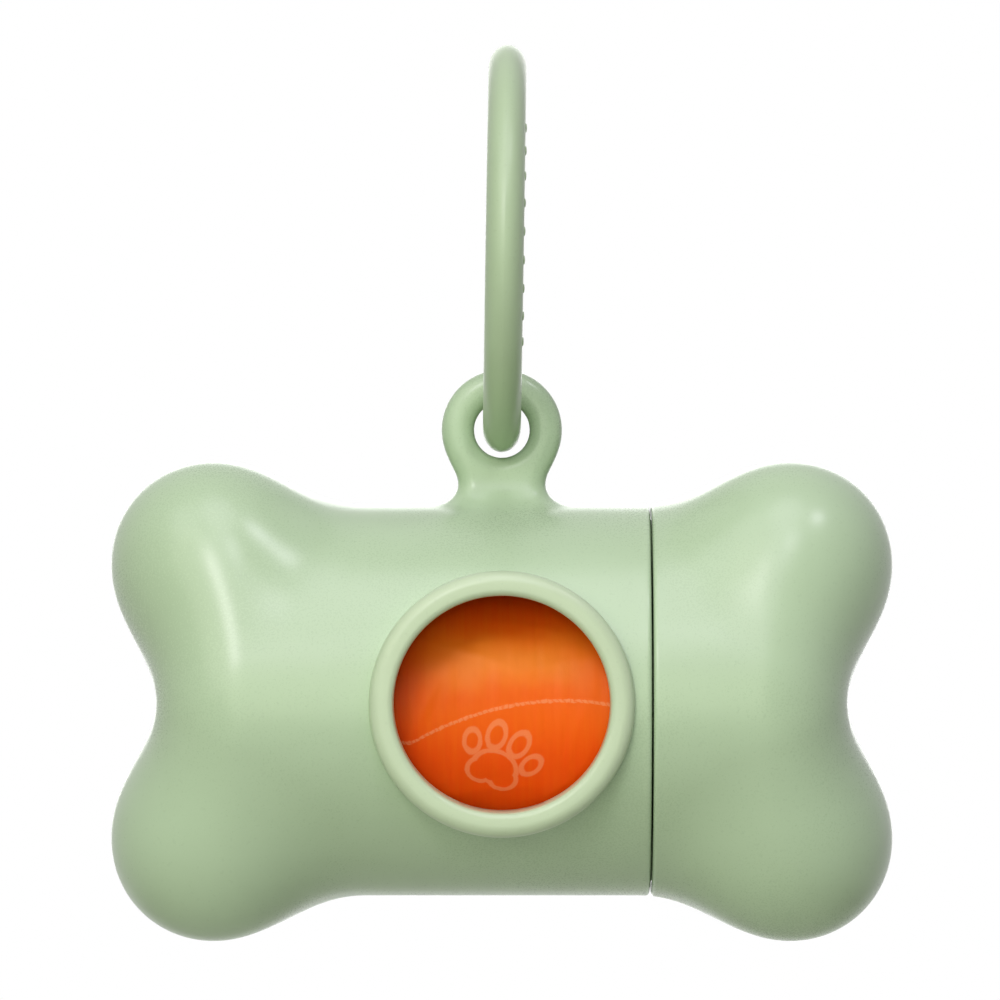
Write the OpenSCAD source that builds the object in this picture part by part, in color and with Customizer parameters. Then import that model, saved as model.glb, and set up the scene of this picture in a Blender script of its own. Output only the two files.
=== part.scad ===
// Bone-shaped dispenser for a roll of dog waste bags, hung by a soft ring.
// Sizes are in millimetres. The pieces are drawn in the bone's own frame, with X along
// the barrel, Z up and the window facing -Y, and place() then moves them so that the
// origin lies where a leash hangs, at the inside top of the ring.

/* [Bone] */
// Diameter of the barrel
barrel_d = 42.2; // [40.2:0.1:46]
// Length of the barrel with its rounded ends
barrel_len = 73.8; // [70:0.2:80]
// Radius of the rounding at each end of the barrel
barrel_end_r = 9.5; // [8:0.5:11]
// Radius of each of the four end lobes
lobe_r = 10.7; // [9.5:0.1:12]
// Distance between the left and the right lobe centres
lobe_span = 62.4; // [58:0.2:68]
// Distance between the upper and the lower lobe centres
lobe_rise = 30; // [28:0.2:34]
// Length of the level run of each lobe from front to back
lobe_run = 12; // [6:0.5:16]
// Width over which lobes and barrel melt into each other
blend_w = 7; // [4:0.5:9]
// Wall of the outer shells
shell_wall = 1.5; // [1.2:0.1:1.8]
// Distance from the middle of the bone to the joint with the cap
joint_x = 16; // [15.5:0.5:18]
// Gap that shows between body and cap
joint_gap = 0.2; // [0.1:0.05:0.5]

/* [Window] */
// Diameter of the opening that the bags come out of
window_d = 23; // [18:0.5:24]
// Width of the raised rim round the opening
rim_w = 2.6; // [2:0.1:3]
// How far the rim stands proud of the barrel
rim_rise = 1.6; // [1:0.1:3]
// Wall of the rim's sleeve, which lines the holes in shell and tube
sleeve_wall = 1.1; // [0.8:0.1:1.4]

/* [Lug] */
// Outer diameter of the lug
lug_d = 13; // [11.5:0.5:15]
// Diameter of the hole in the lug
lug_hole_d = 6; // [5.9:0.1:7]
// Height of the hole's centre above the middle of the bone
lug_z = 29.2; // [28.5:0.2:33]
// Thickness of the lug from front to back
lug_t = 4.8; // [4:0.2:6]
// Rounding of the lug's edges
lug_edge_r = 1.4; // [0.8:0.1:1.6]
// Width of the neck between lug and barrel
lug_neck_w = 9.2; // [7:0.2:10]
// Radius of the fillet between neck and barrel
lug_fillet_r = 2.2; // [1.5:0.1:2.6]

/* [Ring] */
// Outer diameter of the ring
ring_d = 44; // [40:0.5:56]
// Thickness of the ring's section, inside to outside
ring_t = 5.2; // [4.4:0.1:5.3]
// Width of the ring's section, side to side
ring_w = 4.1; // [3:0.1:4.6]
// Gap between the ring and the top of the lug's hole
ring_seat = 0.2; // [0.1:0.05:0.3]
// Angle at which the ring leans to the right
ring_lean = 0.9; // [0:0.1:3]
// Diameter of the barbed pin in the ring's joint
joiner_d = 1.8; // [1.2:0.1:2]
// Length of the pin
joiner_len = 9; // [6:0.5:10]
// Gap between the two butting ends of the ring
ring_cut = 0.15; // [0.1:0.05:0.4]

/* [Roll chamber] */
// Wall of the tube that the roll lies in
tube_wall = 1.1; // [0.9:0.1:1.3]
// Wall of the threaded cup in the cap
cup_wall = 1.2; // [1:0.1:1.4]
// Gap between the inner parts and the shells round them
seat_gap = 0.15; // [0.1:0.05:0.25]
// Length of the tube's neck beyond the joint
neck_len = 7.7; // [7.2:0.1:9]
// Width of the tube's collar at the joint and of its rib
collar_w = 2.2; // [1.5:0.1:2.6]

/* [Thread] */
// Height of the thread ridges
thread_h = 0.8; // [0.6:0.1:0.9]
// Travel of the cap for one turn
thread_lead = 8; // [6.4:0.2:9]
// Width of a ridge at its root
ridge_root_w = 1.6; // [1.2:0.1:1.7]
// Width of a ridge at its tip
ridge_tip_w = 0.8; // [0.5:0.1:1]
// Gap between the bearing flanks of the two threads
thread_play = 0.3; // [0.2:0.05:0.4]
// Radial gap between a ridge's tip and the wall that it faces
thread_clear = 0.25; // [0.2:0.05:0.35]

/* [Seal] */
// Thickness of the seal ring's round section
seal_t = 1.4; // [1:0.1:1.5]
// Gap round the seal ring
seal_gap = 0.1; // [0.05:0.05:0.15]

/* [Bags] */
// Radial gap between the roll and the tube
roll_clear = 0.6; // [0.5:0.1:2]
// Gap between each end of the roll and the chamber's end
roll_play = 1.2; // [0.6:0.1:3]
// Gap between the roll and the bottom of the tube, where it lies
roll_seat = 0.3; // [0.2:0.05:0.4]
// Thickness of the loose outer bag
lead_bag_t = 0.3; // [0.2:0.05:0.6]
// Angle that the loose bag covers
lead_bag_wrap = 330; // [270:5:345]
// Gap between the loose bag and the wound bags
lead_bag_gap = 0.05; // [0.05:0.05:0.2]
// Outer diameter of the roll's core
core_d = 9.2; // [8:0.1:12]
// Wall of the core
core_wall = 0.8; // [0.6:0.1:1.2]

/* [Pegs] */
// Diameter of the bosses that join front and back shells
boss_d = 3.8; // [3:0.1:4.4]
// Diameter of the peg on each front boss
peg_d = 1.8; // [1.2:0.1:2]
// Length of the peg
peg_len = 3; // [2:0.2:4]
// Gap between a peg and its socket
peg_gap = 0.1; // [0.05:0.05:0.2]

/* [Hidden] */
$fn = 64;

// Colours as the photograph shows them
sage = [0.70, 0.78, 0.67];
pale_sage = [0.78, 0.84, 0.73];
inner_sage = [0.60, 0.69, 0.57];
orange = [0.93, 0.40, 0.10];
deep_orange = [0.85, 0.32, 0.06];
card = [0.76, 0.64, 0.47];
seal_grey = [0.25, 0.27, 0.25];

// How fine the shells' skin is: steps round a half, along the barrel and over an end
skin_round = 30;
skin_along = 7;
skin_over = 16;
// Halvings of the search for the skin along one ray, and the search's far limit
skin_halvings = 22;
skin_far = 40;
// The rays over an end start from this share of the lobes' distance
end_origin_share = 0.64;
// A cut runs past the faces it goes through by this much
past = 1;
// A part sunk into another to join it overlaps by this much
bite = 0.3;

barrel_r = barrel_d / 2;
half_barrel = barrel_len / 2;
end_origin = end_origin_share * lobe_span / 2;
body_face = joint_x - joint_gap / 2;
cap_face = joint_x + joint_gap / 2;

// Radii from the outside in
shell_in_r = barrel_r - shell_wall;
fit_r = shell_in_r - seat_gap;
cup_bore_r = fit_r - cup_wall;
male_tip_r = cup_bore_r - thread_clear;
neck_r = male_tip_r - thread_h;
female_tip_r = cup_bore_r - thread_h;
chamber_r = neck_r - tube_wall;
roll_r = chamber_r - roll_clear;
film_r = roll_r - lead_bag_t - lead_bag_gap;
roll_drop = roll_clear - roll_seat;

// The chamber's ends reach as deep as the rounded ends of the barrel let them
end_seat_r = barrel_end_r - shell_wall - 2 * seat_gap;
end_step = neck_r - (barrel_r - barrel_end_r);
chamber_end = half_barrel - barrel_end_r + sqrt(pow(end_seat_r, 2) - pow(end_step, 2));
chamber_in = chamber_end - tube_wall;
roll_len = 2 * (chamber_in - roll_play);

// Neck, seal and thread along the barrel
neck_end = joint_x + neck_len;
cup_step = neck_end + 2 * seat_gap;
seal_r = neck_r + seal_gap + seal_t / 2;
seal_x = body_face + seal_gap + seal_t / 2;
seal_pocket_r = seal_r + seal_t / 2 + 1.5 * seal_gap;
seal_pocket_x = seal_x + seal_t / 2 + 2 * seal_gap;
male_turn = 180;
female_turn = 160;
female_from = 90;
ridge_mid_w = (ridge_root_w + ridge_tip_w) / 2;
male_from_x = neck_end - thread_lead * male_turn / 360 - ridge_root_w / 2 - bite;
flank_shift = ridge_mid_w + thread_play;
thread_steps = 22;
thread_starts = 2;

// Window
window_r = window_d / 2;
rim_r = window_r + rim_w;
rim_front = barrel_r + rim_rise;
sleeve_r = window_r + sleeve_wall;
window_cut_r = sleeve_r + seat_gap;

// Lug and ring
lug_r = lug_d / 2;
lug_hole_r = lug_hole_d / 2;
pivot_z = lug_z + lug_hole_r - ring_seat - ring_t / 2;
ring_mid_r = (ring_d - ring_t) / 2;
hang_reach = 2 * ring_mid_r - ring_t / 2;
hang_x = hang_reach * sin(ring_lean);
hang_z = pivot_z + hang_reach * cos(ring_lean);
ring_sides = 40;

// Bosses stand in the lobes, midway between the tube and the shell's inside
boss_x = lobe_span / 2;
boss_z = (neck_r + lobe_rise / 2 + lobe_r - shell_wall) / 2;

// Two distances melt into one near where they are equal
function melt(a, b, w) = min(a, b) - pow(max(w - abs(a - b), 0) / w, 2) * w / 4;

// Distance from the barrel with its rounded ends
function from_barrel(p) =
    let(along = abs(p[0]) - half_barrel + barrel_end_r)
    let(out = norm([p[1], p[2]]) - barrel_r + barrel_end_r)
    norm([max(along, 0), max(out, 0)]) + min(max(along, out), 0) - barrel_end_r;

// Distance from the nearest lobe
function from_lobe(p) =
    let(along = abs(p[0]) - lobe_span / 2)
    let(deep = max(abs(p[1]) - lobe_run / 2, 0))
    let(high = abs(p[2]) - lobe_rise / 2)
    norm([along, deep, high]) - lobe_r;

// Distance from the bone's skin, below zero inside it
function from_skin(p) = melt(from_barrel(p), from_lobe(p), blend_w);

// How far a ray from o along u goes until it is at the given distance from the skin
function ray_to(o, u, level, near = 0, far = skin_far, left = skin_halvings) =
    let(mid = (near + far) / 2)
    left == 0 ? mid
    : from_skin(o + mid * u) > level ? ray_to(o, u, level, near, mid, left - 1)
    : ray_to(o, u, level, mid, far, left - 1);

// Starts and tilts of the rays for one side of the bone, from the joint to the end's pole
function ray_rows(side, face) = concat(
    [for (i = [0 : skin_along]) [face + (side * end_origin - face) * i / skin_along, 0]],
    [for (i = [1 : skin_over - 1]) [side * end_origin, 90 * i / skin_over]]);

// Points of one skin of a half shell: front is -1 for the front half, 1 for the back half
function skin_points(side, front, face, level) = [
    for (row = ray_rows(side, face), j = [0 : skin_round])
        let(turn = -90 + 180 * j / skin_round)
        let(u = [side * sin(row[1]), front * cos(row[1]) * cos(turn), cos(row[1]) * sin(turn)])
        let(o = [row[0], 0, 0])
        o + ray_to(o, u, level) * u];

function pole_point(side, level) =
    let(o = [side * end_origin, 0, 0])
    o + ray_to(o, [side, 0, 0], level) * [side, 0, 0];

function quad(a, b, c, d) = [[a, b, c], [a, c, d]];
function joined(lists) = [for (l = lists, item = l) item];

// One half of one end of the bone, as a closed wall between its outer and inner skins
module half_shell(side, front, face) {
    outer = skin_points(side, front, face, 0);
    inner = skin_points(side, front, face, -shell_wall);
    poles = [pole_point(side, 0), pole_point(side, -shell_wall)];
    n = len(outer);
    row_len = skin_round + 1;
    last = n - row_len;
    op = 2 * n;
    ip = op + 1;
    rows = n / row_len;
    skin = joined([for (i = [0 : rows - 2], j = [0 : skin_round - 1])
        let(a = i * row_len + j)
        concat(quad(a, a + 1, a + 1 + row_len, a + row_len),
            quad(n + a, n + a + row_len, n + a + 1 + row_len, n + a + 1))]);
    caps = joined([for (j = [0 : skin_round - 1])
        concat([[last + j, last + j + 1, op], [n + last + j + 1, n + last + j, ip]],
            quad(j, n + j, n + j + 1, j + 1))]);
    low = joined([for (i = [0 : rows - 2])
        let(a = i * row_len)
        quad(a, a + row_len, n + a + row_len, n + a)]);
    high = joined([for (i = [0 : rows - 2])
        let(a = i * row_len + skin_round)
        quad(a, n + a, n + a + row_len, a + row_len)]);
    ends = concat(quad(last, op, ip, n + last),
        quad(last + skin_round, n + last + skin_round, ip, op));
    faces = concat(skin, caps, low, high, ends);
    outward = side * front < 0 ? faces : [for (f = faces) [f[0], f[2], f[1]]];
    polyhedron(points = concat(outer, inner, poles), faces = outward, convexity = 8);
}

// Moves the bone's frame to the part's frame
module place() translate([-hang_x, 0, -hang_z]) children();

// Turns a profile of [radius, x] points round the barrel's axis
module turned(profile) rotate([0, 90, 0]) rotate_extrude() polygon(profile);

// A rod from front to back through the point (x, z)
module rod(x, z, r, y0, y1) translate([x, y1, z]) rotate([90, 0, 0]) cylinder(r = r, h = y1 - y0);

// A full cylinder round the barrel's axis, used for cutting
module axle_cut(r) rotate([0, 90, 0]) cylinder(r = r, h = barrel_len, center = true);

// Boss in one lobe, from the parting plane into the middle of the wall
module boss(side, up, front) {
    core_r = lobe_r - shell_wall / 2;
    x = side * lobe_span / 2;
    z = up * lobe_rise / 2;
    reach = lobe_run / 2;
    intersection() {
        rod(side * boss_x, up * boss_z, boss_d / 2, min(0, front * barrel_d), max(0, front * barrel_d));
        union() {
            rod(x, z, core_r, min(0, front * reach), max(0, front * reach));
            translate([x, front * reach, z]) sphere(core_r);
        }
    }
}

// The two bosses in the lobes of a front shell, each with its peg
module pegs(side) {
    for (up = [-1, 1]) {
        boss(side, up, -1);
        rod(side * boss_x, up * boss_z, peg_d / 2, -bite, peg_len);
    }
}

// The two bosses in the lobes of a back shell, each with the socket for a peg
module sockets(side) {
    for (up = [-1, 1]) difference() {
        boss(side, up, 1);
        rod(side * boss_x, up * boss_z, peg_d / 2 + peg_gap, -past, peg_len + 2 * peg_gap);
    }
}

// Rounded section of the lug's eye, from its hole to its rim
module eye_section() {
    for (r = [lug_hole_r + lug_edge_r, lug_r - lug_edge_r], y = [-1, 1])
        translate([r, y * (lug_t / 2 - lug_edge_r)]) circle(lug_edge_r);
    translate([lug_hole_r, lug_edge_r - lug_t / 2])
        square([lug_r - lug_hole_r, lug_t - 2 * lug_edge_r]);
    translate([lug_hole_r + lug_edge_r, -lug_t / 2])
        square([lug_r - lug_hole_r - 2 * lug_edge_r, lug_t]);
}

// Outline of the lug's neck with a fillet on each side
module neck_outline() {
    foot_w = lug_neck_w + 2 * lug_fillet_r;
    foot_z = barrel_r - shell_wall / 2;
    fillet_z = barrel_r + lug_fillet_r;
    translate([-lug_neck_w / 2, foot_z]) square([lug_neck_w, lug_z - lug_hole_r - foot_z]);
    difference() {
        translate([-foot_w / 2, foot_z]) square([foot_w, fillet_z - foot_z]);
        for (side = [-1, 1])
            translate([side * foot_w / 2, fillet_z]) circle(lug_fillet_r);
    }
}

// Half of the lug, with its eye and its neck: front is -1 for the front half
module half_lug(front) {
    intersection() {
        union() {
            translate([0, 0, lug_z]) rotate([90, 0, 0]) rotate_extrude() eye_section();
            difference() {
                rotate([90, 0, 0]) linear_extrude(lug_t, center = true) neck_outline();
                rod(0, lug_z, lug_hole_r + lug_edge_r, -lug_t, lug_t);
            }
        }
        translate([0, front * lug_d / 2, lug_z]) cube([2 * lug_d, lug_d, 4 * lug_d], center = true);
    }
}

// A helical ridge that is sunk into the wall at root_r and ends at tip_r
module ridge(root_r, tip_r, from_x, from_turn, sweep) {
    section = [[root_r, -ridge_root_w / 2], [tip_r, -ridge_tip_w / 2],
        [tip_r, ridge_tip_w / 2], [root_r, ridge_root_w / 2]];
    points = [for (i = [0 : thread_steps], s = section)
        let(turn = sweep * i / thread_steps)
        let(at = from_turn + turn)
        [from_x + thread_lead * turn / 360 + s[1], s[0] * cos(at), s[0] * sin(at)]];
    sides = joined([for (i = [0 : thread_steps - 1], k = [0 : 3])
        let(a = 4 * i + k)
        let(b = 4 * i + (k + 1) % 4)
        quad(a, a + 4, b + 4, b)]);
    lids = concat(quad(0, 1, 2, 3), quad(4 * thread_steps + 3, 4 * thread_steps + 2,
        4 * thread_steps + 1, 4 * thread_steps));
    faces = concat(sides, lids);
    outward = tip_r < root_r ? faces : [for (f = faces) [f[0], f[2], f[1]]];
    polyhedron(points = points, faces = outward, convexity = 4);
}

module male_thread() {
    for (s = [0 : thread_starts - 1])
        ridge(neck_r - bite, male_tip_r, male_from_x, 360 * s / thread_starts, male_turn);
}

module female_thread() {
    from_x = male_from_x - flank_shift + thread_lead * female_from / 360;
    for (s = [0 : thread_starts - 1])
        ridge(cup_bore_r + bite, female_tip_r, from_x, female_from + 360 * s / thread_starts,
            female_turn);
}

// Moves what is drawn round the ring's own centre to the ring's place over the lug
module at_ring() {
    translate([0, 0, pivot_z]) rotate([0, ring_lean, 0]) translate([0, 0, ring_mid_r]) children();
}

// Soft ring that hangs on the leash, cut once at the back so that it can go through the lug
module hang_ring() color(sage) place() at_ring() difference() {
    rotate([0, 90, 0]) rotate_extrude() polygon([for (i = [0 : ring_sides - 1])
        let(turn = 360 * i / ring_sides)
        [ring_mid_r + ring_t / 2 * cos(turn), ring_w / 2 * sin(turn)]]);
    translate([0, ring_mid_r, 0]) cube([ring_w + past, ring_t + past, ring_cut], center = true);
    translate([0, ring_mid_r, 0])
        cylinder(d = joiner_d + peg_gap, h = joiner_len + 2 * peg_gap, center = true);
}

// Pin that holds the two ends of the ring together
module ring_joiner() color(pale_sage) place() at_ring() {
    translate([0, ring_mid_r, 0]) cylinder(d = joiner_d, h = joiner_len, center = true);
}

module front_shell() color(sage) place() difference() {
    union() {
        half_shell(-1, -1, body_face);
        half_lug(-1);
        pegs(-1);
    }
    rod(0, 0, window_cut_r, -barrel_d, 0);
}

module back_shell() color(sage) place() {
    half_shell(-1, 1, body_face);
    half_lug(1);
    sockets(-1);
}

module cap_front_shell() color(sage) place() {
    half_shell(1, -1, cap_face);
    pegs(1);
}

module cap_back_shell() color(sage) place() {
    half_shell(1, 1, cap_face);
    sockets(1);
}

// Tube that the roll lies in, with a closed end, a collar and a threaded neck
module roll_tube() color(inner_sage) place() {
    difference() {
        turned([[0, -chamber_end], [neck_r, -chamber_end], [neck_r, -window_cut_r - collar_w],
            [fit_r, -window_cut_r - collar_w], [fit_r, -window_cut_r - collar_w / 2],
            [neck_r, -window_cut_r - collar_w / 2], [neck_r, body_face - collar_w],
            [fit_r, body_face - collar_w], [fit_r, body_face], [neck_r, body_face],
            [neck_r, neck_end], [chamber_r, neck_end], [chamber_r, -chamber_in],
            [0, -chamber_in]]);
        rod(0, 0, window_cut_r, -barrel_d, 0);
    }
    male_thread();
}

// Rim of the window, whose sleeve lines the holes in the shell and the tube
module window_rim() color(pale_sage) place() {
    lip_r = rim_w / 2;
    difference() {
        rotate([90, 0, 0]) rotate_extrude() {
            translate([window_r + lip_r, rim_front - lip_r]) circle(lip_r);
            translate([window_r, 0]) square([rim_w, rim_front - lip_r]);
        }
        axle_cut(barrel_r + seat_gap / 3);
    }
    difference() {
        rotate([90, 0, 0]) rotate_extrude()
            translate([window_r, 0]) square([sleeve_wall, barrel_r]);
        axle_cut(chamber_r);
    }
}

// Rubber ring on the neck that keeps the cap from working loose
module neck_seal() color(seal_grey) place() {
    translate([seal_x, 0, 0]) rotate([0, 90, 0]) rotate_extrude()
        translate([seal_r, 0]) circle(d = seal_t);
}

// Threaded cup inside the cap, which closes the roll chamber
module cap_cup() color(inner_sage) place() {
    turned([[seal_pocket_r, cap_face], [fit_r, cap_face], [fit_r, cup_step + cup_wall],
        [neck_r, cup_step + cup_wall], [neck_r, chamber_end], [0, chamber_end],
        [0, chamber_in], [chamber_r, chamber_in], [chamber_r, cup_step],
        [cup_bore_r, cup_step], [cup_bore_r, seal_pocket_x], [seal_pocket_r, seal_pocket_x]]);
    female_thread();
}

// Moves a profile of the roll to where the roll lies in the tube
module at_roll() translate([0, 0, -roll_drop]) rotate([0, 90, 0]) children();

// Wound bags
module bag_roll() color(orange) place() at_roll() difference() {
    cylinder(r = film_r, h = roll_len, center = true);
    cylinder(d = core_d, h = roll_len + past, center = true);
}

// Outermost bag, lying loose round the roll, with its opening at the top
module lead_bag() color(deep_orange) place() at_roll() rotate([0, 0, -lead_bag_wrap / 2])
    rotate_extrude(angle = lead_bag_wrap)
        translate([film_r + lead_bag_gap, -roll_len / 2]) square([lead_bag_t, roll_len]);

// Card tube that the bags are wound on
module roll_core() color(card) place() at_roll() difference() {
    cylinder(d = core_d, h = roll_len, center = true);
    cylinder(d = core_d - 2 * core_wall, h = roll_len + past, center = true);
}

hang_ring();
ring_joiner();
front_shell();
back_shell();
roll_tube();
window_rim();
neck_seal();
cap_front_shell();
cap_back_shell();
cap_cup();
bag_roll();
lead_bag();
roll_core();
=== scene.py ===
"""Looks of the bone-shaped dispenser for dog waste bags.

Pieces are modelled in millimetres in the bone's own frame, with X along the barrel, Z up and
the window facing -Y. seat() then puts each one in metres where the CAD model has it.
"""
import math

import bpy
import numpy as np
from mathutils import Matrix, Vector


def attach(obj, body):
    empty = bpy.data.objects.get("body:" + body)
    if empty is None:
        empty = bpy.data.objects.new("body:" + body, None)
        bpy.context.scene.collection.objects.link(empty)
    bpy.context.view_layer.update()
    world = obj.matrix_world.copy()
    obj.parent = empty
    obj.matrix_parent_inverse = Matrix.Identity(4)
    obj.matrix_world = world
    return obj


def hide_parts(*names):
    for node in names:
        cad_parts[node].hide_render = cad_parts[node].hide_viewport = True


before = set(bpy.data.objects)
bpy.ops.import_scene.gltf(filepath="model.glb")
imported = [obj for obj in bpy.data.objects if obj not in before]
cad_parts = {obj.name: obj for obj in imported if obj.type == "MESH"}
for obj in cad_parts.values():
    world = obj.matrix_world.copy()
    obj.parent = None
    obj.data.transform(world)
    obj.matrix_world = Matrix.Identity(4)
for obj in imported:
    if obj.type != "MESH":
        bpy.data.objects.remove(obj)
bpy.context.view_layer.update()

MM = 0.001

# Sizes in millimetres and degrees that the CAD model has too
BARREL_R, BARREL_HALF, BARREL_END_R = 21.1, 36.9, 9.5
LOBE_R, LOBE_X, LOBE_Y, LOBE_Z, LOBE_MELT = 10.7, 31.2, 6.0, 15.0, 7.0
WALL, JOINT_X, JOINT_GAP = 1.5, 16.0, 0.2
LUG_Z, LUG_R, LUG_HOLE_R, LUG_T, LUG_EDGE = 29.2, 6.5, 3.0, 4.8, 1.4
WINDOW_R, RIM_R, RIM_FRONT = 11.5, 14.1, 22.7
SLEEVE_WALL, CHAMBER_R = 1.1, 16.1
RING_MID_R, RING_T, RING_W, RING_BUTT, RING_LEAN, PIVOT_Z = 19.4, 5.2, 4.1, 0.15, 0.9, 29.4
ROLL_DROP, ROLL_LEN, CORE_R, CORE_WALL = 0.3, 60.77, 4.6, 0.8

# Sizes of the looks alone, in the same units
NECK_HALF, NECK_LOW, NECK_HIGH = 4.33, 15.0, 27.0
EYE_MELT, FOOT_MELT = 2.0, 3.6
JOINT_EDGE = 0.45
PARTING, PARTING_W, PARTING_DEEP = 0.008, 0.2, 0.14
RIM_INNER_ROUND, RIM_OUTER_ROUND, RIM_ROOT, RIM_COVER = 0.7, 1.25, 0.9, 1.2
RING_LINE = 0.012
PIP_R, PIP_RISE, PIP_COUNT, PIP_START, PIP_STEP = 0.5, 0.14, 9, 50, 9.0
FILM_T, SHEET_R, SHEET_OVERLAP = 0.06, 15.4, 2.0
CORE_LIP = 0.15

# The skin's first grid, and how far from an edge cuts give its rounding more points
SKIN_STEP = 0.5
JOINT_CUTS = (0.45, 0.32, 0.20, 0.11, 0.04)
PARTING_CUTS = (0.2, 0.13, 0.07, 0.03)

# Points nearer than this are one place
TOUCH = 0.001

# Lengths round the roll of the outer bag, counted from the roll's front up to its top
SHEET_LONG = 2 * math.pi * SHEET_R + SHEET_OVERLAP
SHEET_TOP = SHEET_R * math.pi / 2
SHEET_MID = SHEET_TOP - SHEET_LONG / 2

# Where the leash hangs, in the bone's frame, is the origin of the part's frame
REACH = 2 * RING_MID_R - RING_T / 2
HANG = Vector((REACH * math.sin(math.radians(RING_LEAN)), 0,
               PIVOT_Z + REACH * math.cos(math.radians(RING_LEAN))))
TO_PART = Matrix.Scale(MM, 4) @ Matrix.Translation(-HANG)
ROLL_AXIS_Z = -(HANG.z + ROLL_DROP)


# The bone's skin

def melt(a, b, width):
    """Two distances melt into one near where they are equal."""
    return np.minimum(a, b) - np.maximum(width - np.abs(a - b), 0) ** 2 / (4 * width)


def from_bone(p):
    """Distance from the bone without its lug, below zero inside."""
    x, y, z = np.abs(p[:, 0]), np.abs(p[:, 1]), np.abs(p[:, 2])
    along = x - BARREL_HALF + BARREL_END_R
    out = np.hypot(y, z) - BARREL_R + BARREL_END_R
    barrel = (np.hypot(np.maximum(along, 0), np.maximum(out, 0))
              + np.minimum(np.maximum(along, out), 0) - BARREL_END_R)
    lobe = np.sqrt((x - LOBE_X) ** 2 + np.maximum(y - LOBE_Y, 0) ** 2
                   + (z - LOBE_Z) ** 2) - LOBE_R
    return melt(barrel, lobe, LOBE_MELT)


def from_lug(p):
    """Distance from the lug: a flat eye on a neck, with rounded edges."""
    around = np.hypot(p[:, 0], p[:, 2] - LUG_Z)
    neck = np.maximum(np.abs(p[:, 0]) - NECK_HALF,
                      np.maximum(p[:, 2] - NECK_HIGH, NECK_LOW - p[:, 2]))
    flat = np.maximum(melt(around - LUG_R, neck, EYE_MELT), LUG_HOLE_R - around) + LUG_EDGE
    deep = np.abs(p[:, 1]) - LUG_T / 2 + LUG_EDGE
    return (np.hypot(np.maximum(flat, 0), np.maximum(deep, 0))
            + np.minimum(np.maximum(flat, deep), 0) - LUG_EDGE)


def from_skin(p):
    """Distance from the bone with its lug."""
    return melt(from_bone(p), from_lug(p), FOOT_MELT)


def slope(distance, p):
    """Gradient of a distance at the points p."""
    step = 0.004
    return np.stack([(distance(p + step * e) - distance(p - step * e)) / (2 * step)
                     for e in np.eye(3)], axis=1)


def pull_to(distance, p, turns=6):
    """Moves points to where the distance is zero, and gives their outward normals."""
    flattest = 0.05
    for _ in range(turns):
        g = slope(distance, p)
        p = p - (distance(p) / np.maximum((g ** 2).sum(1), flattest))[:, None] * g
    g = slope(distance, p)
    return p, g / np.linalg.norm(g, axis=1)[:, None]


# Working on a mesh

def points_of(piece):
    """The vertices' places as an array."""
    co = np.empty(len(piece.data.vertices) * 3)
    piece.data.vertices.foreach_get("co", co)
    return co.reshape(-1, 3)


def move_points(piece, co):
    piece.data.vertices.foreach_set("co", co.ravel())
    piece.data.update()


def take(*pieces):
    """Selects only these pieces, the last one active."""
    bpy.ops.object.select_all(action="DESELECT")
    for piece in pieces:
        piece.select_set(True)
    bpy.context.view_layer.objects.active = pieces[-1]
    return pieces[-1]


def edit(piece, kind="VERT"):
    """Enters edit mode with nothing selected."""
    take(piece)
    bpy.ops.object.mode_set(mode="EDIT")
    bpy.ops.mesh.select_mode(type=kind)
    bpy.ops.mesh.select_all(action="DESELECT")


def done():
    bpy.ops.object.mode_set(mode="OBJECT")


def pick(piece, chosen, kind="VERT"):
    """Selects in edit mode the vertices, edges or faces that are chosen by number."""
    done()
    parts = {"VERT": piece.data.vertices, "EDGE": piece.data.edges,
             "FACE": piece.data.polygons}[kind]
    parts.foreach_set("select", np.asarray(chosen, bool))
    bpy.ops.object.mode_set(mode="EDIT")


def cut(piece, at, normal, clear=False):
    """Cuts the mesh at a plane; with clear, what lies on the normal's side goes."""
    edit(piece)
    bpy.ops.mesh.select_all(action="SELECT")
    bpy.ops.mesh.bisect(plane_co=at, plane_no=normal, clear_outer=clear, threshold=TOUCH / 2)
    done()


def modify(piece, kind, **settings):
    """Adds a modifier and applies it."""
    take(piece)
    modifier = piece.modifiers.new(kind.lower(), kind)
    for name, value in settings.items():
        setattr(modifier, name, value)
    bpy.ops.object.modifier_apply(modifier=modifier.name)


def outward(piece):
    """Merges doubles and turns all faces outwards."""
    edit(piece)
    bpy.ops.mesh.select_all(action="SELECT")
    bpy.ops.mesh.remove_doubles(threshold=TOUCH / 2)
    bpy.ops.mesh.normals_make_consistent(inside=False)
    done()


def copy_of(piece, name):
    """A copy with a mesh of its own."""
    other = piece.copy()
    other.data = piece.data.copy()
    other.name = name
    bpy.context.scene.collection.objects.link(other)
    return other


def smooth(piece, angle):
    take(piece)
    bpy.ops.object.shade_smooth_by_angle(angle=math.radians(angle))


def seat(piece, name, body, finish, nodes):
    """Puts a finished piece into the part's frame and on its body."""
    take(piece)
    bpy.ops.object.transform_apply(location=True, rotation=True, scale=True)
    piece.data.transform(TO_PART)
    piece.name = name
    piece.data.name = name
    piece.data.materials.clear()
    piece.data.materials.append(finish)
    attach(piece, body)
    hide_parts(*nodes)
    return piece


# Materials

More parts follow.
